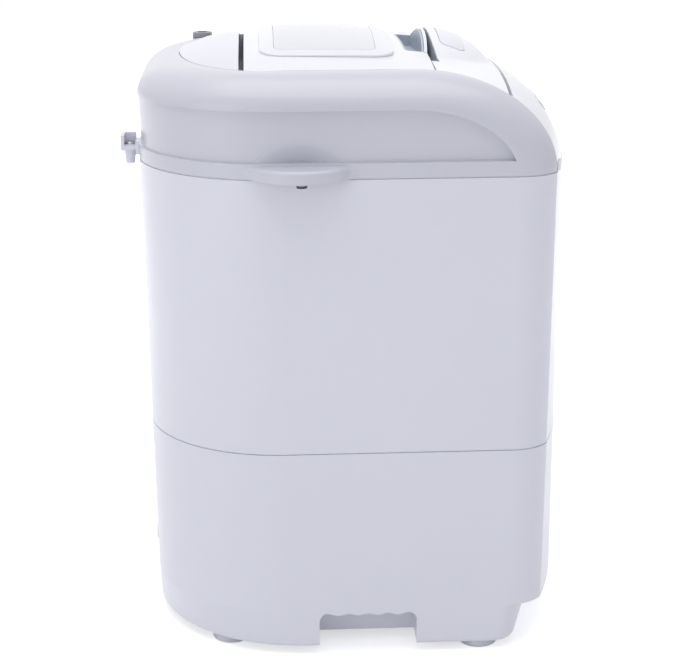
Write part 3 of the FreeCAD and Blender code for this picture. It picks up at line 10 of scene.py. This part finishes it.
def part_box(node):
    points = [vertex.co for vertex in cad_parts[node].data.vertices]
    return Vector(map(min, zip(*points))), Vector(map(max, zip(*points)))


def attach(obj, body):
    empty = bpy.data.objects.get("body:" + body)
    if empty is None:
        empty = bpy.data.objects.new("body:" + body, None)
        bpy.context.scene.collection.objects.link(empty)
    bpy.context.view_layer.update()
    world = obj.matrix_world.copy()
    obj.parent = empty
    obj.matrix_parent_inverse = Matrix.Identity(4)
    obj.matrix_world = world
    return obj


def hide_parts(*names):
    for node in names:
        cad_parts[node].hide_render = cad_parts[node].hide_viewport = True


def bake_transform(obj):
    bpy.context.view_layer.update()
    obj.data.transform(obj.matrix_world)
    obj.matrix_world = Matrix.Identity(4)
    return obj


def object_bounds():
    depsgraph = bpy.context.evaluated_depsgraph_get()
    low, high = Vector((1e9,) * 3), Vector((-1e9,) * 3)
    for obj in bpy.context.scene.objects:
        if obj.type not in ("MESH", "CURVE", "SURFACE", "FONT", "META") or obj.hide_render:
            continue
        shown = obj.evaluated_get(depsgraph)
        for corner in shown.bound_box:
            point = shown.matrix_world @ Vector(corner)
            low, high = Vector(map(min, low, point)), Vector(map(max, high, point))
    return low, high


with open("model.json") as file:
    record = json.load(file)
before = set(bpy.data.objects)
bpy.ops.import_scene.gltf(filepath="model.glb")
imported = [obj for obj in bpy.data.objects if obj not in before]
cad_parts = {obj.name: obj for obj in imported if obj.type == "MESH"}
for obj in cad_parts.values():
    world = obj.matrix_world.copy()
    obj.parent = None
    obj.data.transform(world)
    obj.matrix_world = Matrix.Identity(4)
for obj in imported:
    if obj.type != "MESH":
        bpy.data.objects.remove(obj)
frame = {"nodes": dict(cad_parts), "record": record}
cad_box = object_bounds()
scene = bpy.context.scene


def linear(red, green, blue):
    """A colour written as 8-bit display values, as linear light."""
    def channel(value):
        share = value / 255
        if share <= 0.04045:
            return share / 12.92
        return ((share + 0.055) / 1.055) ** 2.4
    return (channel(red), channel(green), channel(blue), 1.0)


# Materials

class Shader:
    """A material with one Principled shader and a few helpers that link textures to it."""

    def __init__(self, name):
        self.material = bpy.data.materials.new(name)
        self.material.use_nodes = True
        self.tree = self.material.node_tree
        self.bsdf = self.tree.nodes["Principled BSDF"]
        self.coords = self.tree.nodes.new("ShaderNodeTexCoord")
        self.heights = []

    def set(self, **values):
        for name, value in values.items():
            self.bsdf.inputs[name.replace("_", " ")].default_value = value
        return self

    def place(self, stretch=(1, 1, 1)):
        mapping = self.tree.nodes.new("ShaderNodeMapping")
        mapping.inputs["Scale"].default_value = stretch
        self.tree.links.new(self.coords.outputs["Object"], mapping.inputs["Vector"])
        return mapping.outputs["Vector"]

    def noise(self, scale, detail=2.0, stretch=(1, 1, 1)):
        node = self.tree.nodes.new("ShaderNodeTexNoise")
        node.inputs["Scale"].default_value = scale
        node.inputs["Detail"].default_value = detail
        self.tree.links.new(self.place(stretch), node.inputs["Vector"])
        return node.outputs["Fac"]

    def voronoi(self, scale, stretch=(1, 1, 1)):
        node = self.tree.nodes.new("ShaderNodeTexVoronoi")
        node.inputs["Scale"].default_value = scale
        self.tree.links.new(self.place(stretch), node.inputs["Vector"])
        return node.outputs["Distance"]

    def spread(self, source, low, high, start=0.3, end=0.7):
        node = self.tree.nodes.new("ShaderNodeMapRange")
        node.inputs["From Min"].default_value = start
        node.inputs["From Max"].default_value = end
        node.inputs["To Min"].default_value = low
        node.inputs["To Max"].default_value = high
        self.tree.links.new(source, node.inputs["Value"])
        return node.outputs["Result"]

    def colour(self, source, first, second, start=0.3, end=0.7):
        node = self.tree.nodes.new("ShaderNodeMix")
        node.data_type = "RGBA"
        colours = [socket for socket in node.inputs if socket.type == "RGBA"]
        colours[0].default_value = first
        colours[1].default_value = second
        self.tree.links.new(self.spread(source, 0, 1, start, end), node.inputs["Factor"])
        result = [socket for socket in node.outputs if socket.type == "RGBA"][0]
        self.tree.links.new(result, self.bsdf.inputs["Base Color"])
        return self

    def roughness(self, source, low, high):
        self.tree.links.new(self.spread(source, low, high), self.bsdf.inputs["Roughness"])
        return self

    def bump(self, source, height, strength=1.0):
        node = self.tree.nodes.new("ShaderNodeBump")
        node.inputs["Distance"].default_value = height
        node.inputs["Strength"].default_value = strength
        self.tree.links.new(source, node.inputs["Height"])
        if self.heights:
            self.tree.links.new(self.heights[-1].outputs["Normal"], node.inputs["Normal"])
        self.heights.append(node)
        self.tree.links.new(node.outputs["Normal"], self.bsdf.inputs["Normal"])
        return self


def shade(colour, factor):
    return tuple(min(1.0, value * factor) for value in colour[:3]) + (1.0,)


def moulded(name, colour, rough, coat=0.0, grain=0.00002, grain_scale=1400, mottle=0.006):
    """Injection-moulded plastic: slight colour drift, uneven gloss and a fine tool texture."""
    shader = Shader(name).set(IOR=1.5, Coat_Weight=coat, Coat_Roughness=0.12)
    drift = shader.noise(5.0, 3.0)
    shader.colour(drift, shade(colour, 1 - mottle), shade(colour, 1 + mottle))
    shader.roughness(shader.noise(25.0, 2.0), rough * 0.94, rough * 1.06)
    shader.bump(shader.noise(grain_scale, 2.0), grain, 0.35)
    return shader.material


def rubber(name, colour, rough):
    shader = Shader(name).set(IOR=1.5)
    shader.colour(shader.noise(60.0, 4.0), shade(colour, 0.85), shade(colour, 1.15))
    shader.roughness(shader.noise(200.0, 2.0), rough * 0.9, min(1.0, rough * 1.1))
    shader.bump(shader.noise(2200.0, 2.0), 0.00008, 0.6)
    return shader.material


def metal(name, colour, rough, stretch, scale=900.0):
    """Drawn or brushed metal: long fine scratches along one direction."""
    shader = Shader(name).set(Metallic=1.0)
    lines = shader.noise(scale, 3.0, stretch)
    shader.colour(shader.noise(12.0, 3.0), shade(colour, 0.93), shade(colour, 1.05))
    shader.roughness(lines, rough * 0.95, rough * 1.06)
    shader.bump(lines, 0.000001, 0.2)
    return shader.material


def cast_metal(name, colour, rough):
    shader = Shader(name).set(Metallic=0.9)
    shader.colour(shader.noise(30.0, 4.0), shade(colour, 0.86), shade(colour, 1.1))
    shader.roughness(shader.noise(150.0, 3.0), rough * 0.85, rough * 1.15)
    shader.bump(shader.noise(700.0, 4.0), 0.00025, 0.7)
    return shader.material


def painted(name, colour, rough):
    shader = Shader(name).set(IOR=1.5, Coat_Weight=0.3, Coat_Roughness=0.25)
    shader.colour(shader.noise(25.0, 4.0), shade(colour, 0.88), shade(colour, 1.1))
    shader.roughness(shader.noise(120.0, 2.0), rough * 0.85, rough * 1.15)
    shader.bump(shader.noise(450.0, 3.0), 0.0001, 0.5)
    return shader.material


def milky_pane(name, colour):
    """Frosted clear plastic that lets some light through."""
    shader = Shader(name).set(IOR=1.49, Transmission_Weight=0.16)
    shader.colour(shader.noise(8.0, 2.0), shade(colour, 0.985), shade(colour, 1.01))
    shader.roughness(shader.noise(60.0, 2.0), 0.16, 0.24)
    shader.bump(shader.noise(300.0, 1.0), 0.00002, 0.3)
    return shader.material


def smoked_lens(name, colour):
    shader = Shader(name).set(IOR=1.49, Coat_Weight=0.6, Coat_Roughness=0.05)
    shader.colour(shader.noise(14.0, 2.0), shade(colour, 0.9), shade(colour, 1.15))
    shader.roughness(shader.noise(70.0, 2.0), 0.08, 0.14)
    shader.bump(shader.noise(110.0, 1.0), 0.00001, 0.3)
    return shader.material


def circuit_board(name):
    shader = Shader(name).set(IOR=1.5)
    tracks = shader.voronoi(180.0, (1.0, 3.0, 3.0))
    shader.colour(tracks, linear(24, 84, 52), linear(38, 112, 68), 0.25, 0.45)
    shader.roughness(shader.noise(220.0, 2.0), 0.32, 0.5)
    shader.bump(tracks, 0.00006, 0.5)
    return shader.material


SHELL = linear(230, 230, 239)
DECK = linear(240, 240, 245)
MATERIALS = {
    "shell_white": moulded("shell_white", SHELL, 0.30, coat=0.15),
    # The same white plastic made darker: painted shade on the top frame's shoulder, side panel and flange.
    "frame_white_painted_shade": moulded("frame_white_painted_shade", linear(212, 212, 221), 0.30, coat=0.15),
    # The same white plastic made lighter: painted light on the front deck and the hump's end.
    "front_white_painted_light": moulded("front_white_painted_light", linear(247, 247, 251), 0.32, coat=0.15),
    "deck_white": moulded("deck_white", DECK, 0.32, coat=0.15),
    "lid_white": moulded("lid_white", DECK, 0.30, coat=0.15, grain=0.00001),
    "cap_white": moulded("cap_white", linear(236, 236, 241), 0.3, coat=0.2),
    "window_clear": milky_pane("window_clear", linear(249, 249, 253)),
    "trim_grey": moulded("trim_grey", linear(188, 195, 206), 0.42, grain=0.00005),
    "lens_dark": smoked_lens("lens_dark", linear(206, 210, 219)),
    "key_grey": moulded("key_grey", linear(228, 230, 236), 0.38, grain=0.00003),
    "board_green": circuit_board("board_green"),
    "inlet_grey": moulded("inlet_grey", linear(162, 163, 169), 0.4, grain=0.00004),
    "rubber_dark": rubber("rubber_dark", linear(44, 45, 48), 0.72),
    "foot_grey": rubber("foot_grey", linear(206, 207, 215), 0.62),
    "screw_dark": cast_metal("screw_dark", linear(70, 71, 76), 0.42),
    "steel": metal("steel", linear(200, 202, 205), 0.26, (1.0, 1.0, 0.02)),
    "tub_plastic": moulded("tub_plastic", linear(214, 216, 218), 0.45, grain=0.00004),
    "ring_grey": moulded("ring_grey", linear(188, 192, 198), 0.4, grain=0.00004),
    "pulsator_blue": moulded("pulsator_blue", linear(146, 176, 208), 0.34, coat=0.1),
    "cast": cast_metal("cast", linear(168, 170, 172), 0.5),
    "motor_paint": painted("motor_paint", linear(58, 60, 64), 0.45),
    "plate": metal("plate", linear(186, 189, 192), 0.42, (0.05, 1.0, 1.0), 500.0),
    "pump_plastic": moulded("pump_plastic", linear(72, 76, 82), 0.5, grain=0.00005),
    "sign_grey": moulded("sign_grey", linear(96, 100, 110), 0.5),
    "bars_dim": moulded("bars_dim", linear(150, 155, 166), 0.4),
    "can": metal("can", linear(205, 206, 208), 0.33, (1.0, 1.0, 0.04)),
}

# Finishes that override the model's slots. Top frame: a darker copy of the white plastic, painted shade.
# Front deck: a lighter copy, painted light. Rear deck: the darker shell white in place of the deck white,
# painted shade.
OWN_FINISH = {"top_frame": "frame_white_painted_shade", "rear_deck": "shell_white", "front_deck": "front_white_painted_light",
              "hook_screw": "steel", "cord_gland": "cap_white"}
for subpart in frame["record"]["subparts"]:
    node = subpart["node"]
    slots = frame["nodes"][node].data.materials
    slots.clear()
    slots.append(MATERIALS[OWN_FINISH.get(node, subpart["material_slot"])])


# Details

MM = 0.001


def add_piece(name, vertices, faces, material, body):
    mesh = bpy.data.meshes.new(name)
    mesh.from_pydata(vertices, [], faces)
    work = bmesh.new()
    work.from_mesh(mesh)
    bmesh.ops.recalc_face_normals(work, faces=work.faces)
    work.to_mesh(mesh)
    work.free()
    piece = bpy.data.objects.new(name, mesh)
    scene.collection.objects.link(piece)
    mesh.materials.append(MATERIALS[material])
    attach(piece, body)
    return piece


def inlet_thread():
    """The hose thread: one ridge that winds up the spigot and fades out at both ends."""
    low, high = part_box("water_inlet")
    centre_x = (low.x + high.x) / 2
    centre_y = (low.y + high.y) / 2
    root = 10.35 * MM
    crest = 0.55 * MM
    pitch = 1.814 * MM
    half_ridge = 0.75 * MM
    start = high.z - 14.0 * MM
    turns = 6.5
    steps = 48
    fade_steps = 12
    count = int(turns * steps)
    vertices = []
    for i in range(count + 1):
        angle = 2 * math.pi * i / steps
        fade = min(1.0, i / fade_steps, (count - i) / fade_steps)
        height = start + pitch * i / steps
        for out, up in ((0, -half_ridge * fade), (crest * fade, 0), (0, half_ridge * fade)):
            radius = root + out
            vertices.append((centre_x + radius * math.cos(angle),
                             centre_y + radius * math.sin(angle), height + up))
    faces = []
    for i in range(count):
        base = 3 * i
        for j in range(3):
            k = (j + 1) % 3
            faces.append((base + j, base + k, base + 3 + k, base + 3 + j))
    last = 3 * count
    faces.append((0, 1, 2))
    faces.append((last + 2, last + 1, last))
    thread = add_piece("inlet_thread", vertices, faces, "inlet_grey", "cabinet")
    thread.data.shade_smooth()


def latch_gap_shade_sheet():
    """A grey sheet that closes the crescent gap between lid and hump from below; its grey stands in for the
    shade in the gap, as painted shade.

    It has a bead along its rear edge."""
    low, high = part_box("latch_plate")
    half_length = 99.3 * MM
    front = high.y - 6.0 * MM
    rear = high.y + 4.1 * MM
    floor = low.z - 4.4 * MM
    thickness = 2.0 * MM
    bead_width = 1.0 * MM
    bead_height = 0.7 * MM
    bead_foot = 1.5 * bead_width
    section = [(front, floor - thickness), (rear, floor - thickness), (rear, floor + bead_height),
               (rear - bead_width, floor + bead_height), (rear - bead_foot, floor), (front, floor)]
    size = len(section)
    vertices = [(x, y, z) for x in (-half_length, half_length) for y, z in section]
    faces = [(i, (i + 1) % size, size + (i + 1) % size, size + i) for i in range(size)]
    faces.append(tuple(range(size)))
    faces.append(tuple(reversed(range(size, 2 * size))))
    # Trim-grey sheet under the lid–hump gap: painted shade for the gap.
    add_piece("latch_gap_shade_sheet", vertices, faces, "trim_grey", "cabinet")


def soft_bellows():
    """The drain bellows, held by the pump at its foot and by the tub at its top.

    It stands in for the CAD node, with the same mesh."""
    node = frame["nodes"]["drain_bellows"]
    piece = bpy.data.objects.new("soft_bellows", node.data.copy())
    scene.collection.objects.link(piece)
    piece.matrix_world = node.matrix_world
    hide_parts("drain_bellows")
    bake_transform(piece)


def arc(centre, radius, start, end, steps):
    points = []
    for i in range(steps + 1):
        angle = math.radians(start + (end - start) * i / steps)
        points.append((centre[0] + radius * math.cos(angle), centre[1] + radius * math.sin(angle)))
    return points


def stroke(points, width):
    """A line of even width along the points, as a list of four-cornered patches."""
    sides = []
    for i, (x, y) in enumerate(points):
        before = points[max(0, i - 1)]
        after = points[min(len(points) - 1, i + 1)]
        along = Vector((after[0] - before[0], after[1] - before[1])).normalized()
        across = Vector((-along.y, along.x)) * width / 2
        sides.append(((x + across.x, y + across.y), (x - across.x, y - across.y)))
    return [(a[0], a[1], b[1], b[0]) for a, b in zip(sides, sides[1:])]


class Face:
    """A place on a CAD surface: flat marks are laid on it, point by point, along its outward direction."""

    ray_start = 0.05

    def __init__(self, node, out):
        self.node = node
        self.out = Vector(out).normalized()
        self.right = Vector((1, 0, 0))
        self.up = self.out.cross(self.right)
        low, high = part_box(node)
        self.centre = (low + high) / 2
        mesh = frame["nodes"][node].data
        self.tree = BVHTree.FromPolygons([v.co for v in mesh.vertices], [p.vertices for p in mesh.polygons])

    def lay(self, x, y, lift):
        start = self.centre + self.right * x * MM + self.up * y * MM + self.out * self.ray_start
        hit = self.tree.ray_cast(start, -self.out)[0]
        return hit + self.out * lift

    def mark(self, name, patches, material, body, rise=0.12, sunk=0.1):
        vertices = []
        faces = []
        for patch in patches:
            size = len(patch)
            base = len(vertices)
            vertices += [self.lay(x, y, rise * MM) for x, y in patch]
            vertices += [self.lay(x, y, -sunk * MM) for x, y in patch]
            faces.append(tuple(base + i for i in range(size)))
            faces.append(tuple(base + size + i for i in reversed(range(size))))
            for i in range(size):
                k = (i + 1) % size
                faces.append((base + i, base + size + i, base + size + k, base + k))
        return add_piece(name, vertices, faces, material, body)


# Panel marks, in millimetres on the face that carries them
KEY_OUT = (0, -0.8551080, 0.5184499)
DISPLAY_ANGLE = math.radians(53.0)
MARK = 0.9
DIGIT_PLACES = (-17, -8, 8, 17)
BAR = 1.0
BAR_GAP = 0.7
COLON_DOT = 0.7
COLON_PLACES = (-2.4, 2.4)
LENS_RISE = 0.03
LENS_SUNK = 0.1


def power_mark():
    ring = stroke(arc((0, -0.3), 3.1, 125, 415, 20), MARK)
    return ring + stroke([(0, 0.6), (0, 3.6)], MARK)


def start_mark():
    triangle = [((-3.6, 2.6), (-3.6, -2.6), (0.4, 0))]
    return triangle + stroke([(1.8, -2.6), (1.8, 2.6)], MARK) + stroke([(3.6, -2.6), (3.6, 2.6)], MARK)


def level_mark():
    lines = []
    for step in range(3):
        y = -2.4 + 2.4 * step
        lines += stroke([(-3.4, y), (-1.7, y + 0.7), (0, y), (1.7, y - 0.7), (3.4, y)], MARK)
    return lines


def timer_mark():
    ring = stroke(arc((0, 0), 3.3, 0, 360, 28), MARK)
    return ring + stroke([(0, 2.0), (0, 0), (1.6, -0.9)], MARK)


def digit_patches(x):
    """The seven bars of one digit, unlit."""
    half_x = 2.6
    half_y = 5.2
    bars = []
    for y in (-half_y, 0, half_y):
        bars += stroke([(x - half_x + BAR_GAP, y), (x + half_x - BAR_GAP, y)], BAR)
    for side in (-half_x, half_x):
        for y in (-half_y, 0):
            bars += stroke([(x + side, y + BAR_GAP), (x + side, y + half_y - BAR_GAP)], BAR)
    return bars


def panel_marks():
    signs = (power_mark(), level_mark(), timer_mark(), start_mark())
    for number, sign in enumerate(signs, start=1):
        face = Face("key_" + str(number), KEY_OUT)
        face.mark("key_sign_" + str(number), sign, "sign_grey", "key_button_" + str(number))
    out = (0, -math.sin(DISPLAY_ANGLE), math.cos(DISPLAY_ANGLE))
    face = Face("display_lens", out)
    digits = [patch for x in DIGIT_PLACES for patch in digit_patches(x)]
    colon = [tuple(arc((0, y), COLON_DOT, 0, 330, 11)) for y in COLON_PLACES]
    face.mark("display_bars", digits + colon, "bars_dim", "cabinet", LENS_RISE, LENS_SUNK)


inlet_thread()
latch_gap_shade_sheet()
soft_bellows()
panel_marks()


# Stage

FLOOR_HALF = 6.0
FLOOR_COLOUR = (0.86, 0.86, 0.87, 1.0)
FLOOR_LIFT = 0.55
FLOOR_FADE = (0.45, 1.3)
FLOOR_ROUGHNESS = 0.9
FLOOR_SPECULAR = 0.1
AMBIENT = 0.57
AMBIENT_COLOUR = (0.93, 0.945, 1.0, 1.0)
WHITE = (1.0, 1.0, 1.0, 1.0)


def seen_directly(tree):
    """1 for camera, glossy and transmission rays, else 0."""
    path = tree.nodes.new("ShaderNodeLightPath")
    total = path.outputs["Is Camera Ray"]
    for name in ("Is Glossy Ray", "Is Transmission Ray"):
        node = tree.nodes.new("ShaderNodeMath")
        node.operation = "MAXIMUM"
        tree.links.new(total, node.inputs[0])
        tree.links.new(path.outputs[name], node.inputs[1])
        total = node.outputs["Value"]
    return total


def make_floor():
    mesh = bpy.data.meshes.new("floor")
    low = cad_box[0].z
    corners = [(-1, -1), (1, -1), (1, 1), (-1, 1)]
    mesh.from_pydata([(x * FLOOR_HALF, y * FLOOR_HALF, low) for x, y in corners], [], [(0, 1, 2, 3)])
    floor = bpy.data.objects.new("floor", mesh)
    scene.collection.objects.link(floor)
    material = bpy.data.materials.new("floor_pale")
    material.use_nodes = True
    tree = material.node_tree
    bsdf = tree.nodes["Principled BSDF"]
    bsdf.inputs["Base Color"].default_value = FLOOR_COLOUR
    bsdf.inputs["Roughness"].default_value = FLOOR_ROUGHNESS
    bsdf.inputs["Specular IOR Level"].default_value = FLOOR_SPECULAR
    bsdf.inputs["Emission Color"].default_value = WHITE
    coords = tree.nodes.new("ShaderNodeTexCoord")
    away = tree.nodes.new("ShaderNodeVectorMath")
    away.operation = "LENGTH"
    tree.links.new(coords.outputs["Object"], away.inputs[0])
    fade = tree.nodes.new("ShaderNodeMapRange")
    fade.interpolation_type = "SMOOTHSTEP"
    fade.inputs["From Min"].default_value = FLOOR_FADE[0]
    fade.inputs["From Max"].default_value = FLOOR_FADE[1]
    fade.inputs["To Min"].default_value = FLOOR_LIFT
    tree.links.new(away.outputs["Value"], fade.inputs["Value"])
    lift = tree.nodes.new("ShaderNodeMath")
    lift.operation = "MULTIPLY"
    tree.links.new(seen_directly(tree), lift.inputs[0])
    tree.links.new(fade.outputs["Result"], lift.inputs[1])
    tree.links.new(lift.outputs["Value"], bsdf.inputs["Emission Strength"])
    mesh.materials.append(material)


def make_world():
    world = bpy.data.worlds.new("studio")
    scene.world = world
    world.use_nodes = True
    tree = world.node_tree
    ambient = tree.nodes["Background"]
    ambient.inputs["Color"].default_value = AMBIENT_COLOUR
    ambient.inputs["Strength"].default_value = AMBIENT
    backdrop = tree.nodes.new("ShaderNodeBackground")
    backdrop.inputs["Color"].default_value = WHITE
    mix = tree.nodes.new("ShaderNodeMixShader")
    tree.links.new(seen_directly(tree), mix.inputs[0])
    tree.links.new(ambient.outputs["Background"], mix.inputs[1])
    tree.links.new(backdrop.outputs["Background"], mix.inputs[2])
    tree.links.new(mix.outputs["Shader"], tree.nodes["World Output"].inputs["Surface"])


def aim(thing, target):
    direction = Vector(target) - thing.location
    thing.rotation_mode = "QUATERNION"
    thing.rotation_quaternion = direction.to_track_quat("-Z", "Y")


def softbox(name, place, target, size, power, colour):
    data = bpy.data.lights.new(name, "AREA")
    data.shape = "RECTANGLE"
    data.size = size[0]
    data.size_y = size[1]
    data.energy = power
    data.color = colour
    lamp = bpy.data.objects.new(name, data)
    scene.collection.objects.link(lamp)
    lamp.location = place
    aim(lamp, target)


def make_lights():
    white = (1.0, 1.0, 1.0)
    cool = (0.98, 0.99, 1.0)
    middle = (0.0, 0.0, 0.35)
    low_middle = (0.0, 0.0, 0.2)
    softbox("overhead", (-0.2, 0.1, 2.6), middle, (2.4, 2.4), 26.0, white)
    softbox("left_box", (-1.8, 2.0, 0.7), middle, (1.6, 1.6), 8.0, cool)
    softbox("right_box", (-1.6, -2.2, 0.5), middle, (1.6, 1.4), 1.0, cool)
    softbox("low_box", (-2.4, 0.4, 0.4), low_middle, (1.8, 0.6), 0.9, cool)
    softbox("far_box", (2.4, 0.0, 1.2), middle, (2.0, 2.0), 2.0, white)


def make_camera():
    focal_pixels = 1735.0
    image_width = 679.0
    pitch = math.radians(16.58)
    yaw = math.radians(2.78)
    roll = math.radians(0.35)
    data = bpy.data.cameras.new("camera")
    data.sensor_width = 36.0
    data.lens = focal_pixels * data.sensor_width / image_width
    camera = bpy.data.objects.new("camera", data)
    scene.collection.objects.link(camera)
    camera.location = (-1.7755, 0.0888, 0.8083)
    forward = Vector((math.cos(yaw) * math.cos(pitch), -math.sin(yaw) * math.cos(pitch), -math.sin(pitch)))
    camera.rotation_mode = "QUATERNION"
    camera.rotation_quaternion = forward.to_track_quat("-Z", "Y") @ Quaternion((0, 0, 1), -roll)
    scene.camera = camera


make_floor()
make_world()
make_lights()
make_camera()
scene.view_settings.view_transform = "Standard"
